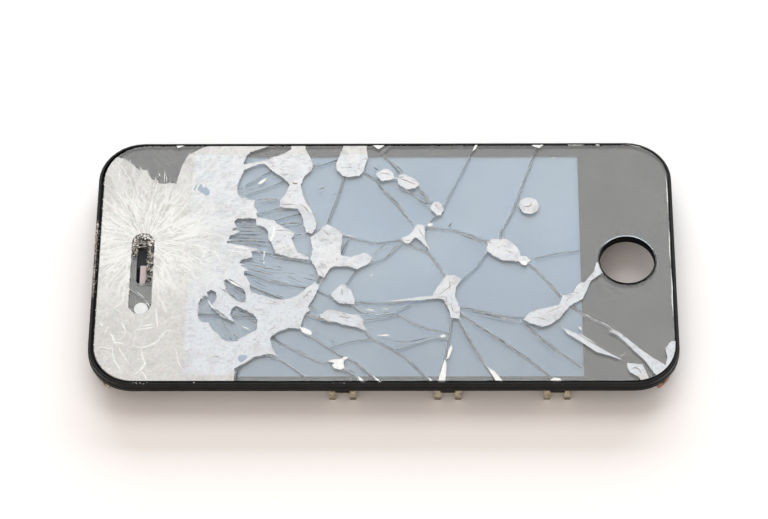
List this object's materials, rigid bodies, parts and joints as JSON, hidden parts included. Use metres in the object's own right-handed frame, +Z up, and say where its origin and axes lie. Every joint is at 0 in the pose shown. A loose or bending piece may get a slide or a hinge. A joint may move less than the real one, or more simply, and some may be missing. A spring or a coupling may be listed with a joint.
{
  "type": "shattered phone screen assembly",
  "caption": "Front screen assembly of a phone with shattered cover glass, black moulded bezel and steel clips, lying face up on the clip tips.",
  "frame": {"origin": "on the ground, under the middle of the moulded frame", "axes": "+X along the long edge to the home button end, +Y to the far long edge, +Z up out of the glass"},
  "size_m": [0.1124, 0.0556, 0.0065],
  "materials": {
    "bezel_plastic": "moulded black, slightly worn",
    "cover_glass": "polished, cracked",
    "crushed_glass": "crushed to white crumbs",
    "black_print": "screen printed black",
    "touch_glass": "clear",
    "display_film": "matt blue-grey",
    "display_glass": "polished",
    "white_film": "matt white",
    "clear_acrylic": "clear",
    "white_plastic": "moulded white",
    "pan_steel": "pressed sheet",
    "clip_steel": "pressed sheet",
    "copper_steel": "copper tinted sheet",
    "gasket_rubber": "soft black",
    "mesh_steel": "woven, blackened",
    "flex_film": "amber film",
    "chip": "black",
    "tan_plastic": "moulded tan"
  },
  "bodies": {
    "root": {"backlight_frame": "white_plastic", "backlight_pan": "pan_steel", "bezel_frame": "bezel_plastic", "black_print": "black_print", "colour_filter_glass": "display_glass", "corner_eyelet_far_left": "clip_steel", "corner_eyelet_far_right": "clip_steel", "corner_eyelet_near_left": "clip_steel", "corner_eyelet_near_right": "copper_steel", "crushed_centre_bead": "crushed_glass", "crushed_centre_left": "crushed_glass", "crushed_centre_near": "crushed_glass", "crushed_centre_right": "crushed_glass", "crushed_far_bead": "crushed_glass", "crushed_far_pair": "crushed_glass", "crushed_far_patch": "crushed_glass", "crushed_home_band": "crushed_glass", "crushed_home_corner": "crushed_glass", "crushed_home_streak": "crushed_glass", "crushed_left_field": "crushed_glass", "crushed_near_corner": "crushed_glass", "crushed_near_wedge": "crushed_glass", "crushed_right_dot": "crushed_glass", "crushed_right_patch": "crushed_glass", "diffuser_film": "white_film", "display_connector": "tan_plastic", "display_flex": "flex_film", "driver_chip": "chip", "earpiece_gasket": "gasket_rubber", "earpiece_mesh": "mesh_steel", "fork_clip_far_left": "clip_steel", "fork_clip_far_middle": "clip_steel", "fork_clip_far_right": "clip_steel", "fork_clip_near_left": "clip_steel", "fork_clip_near_middle": "clip_steel", "fork_clip_near_right": "clip_steel", "front_polarizer": "display_film", "led_strip": "tan_plastic", "light_guide": "clear_acrylic", "rear_polarizer": "display_film", "reflector_film": "white_film", "shard_camera": "cover_glass", "shard_centre": "cover_glass", "shard_centre_left": "cover_glass", "shard_centre_right": "cover_glass", "shard_earpiece": "cover_glass", "shard_far_edge": "cover_glass", "shard_far_left": "cover_glass", "shard_far_middle": "cover_glass", "shard_home_button": "cover_glass", "shard_near_corner": "cover_glass", "shard_near_home": "cover_glass", "shard_near_left": "cover_glass", "shard_near_middle": "cover_glass", "shard_near_right": "cover_glass", "touch_connector": "tan_plastic", "touch_flex": "flex_film", "touch_sensor": "touch_glass", "transistor_glass": "display_glass"}
  },
  "joints": []
}
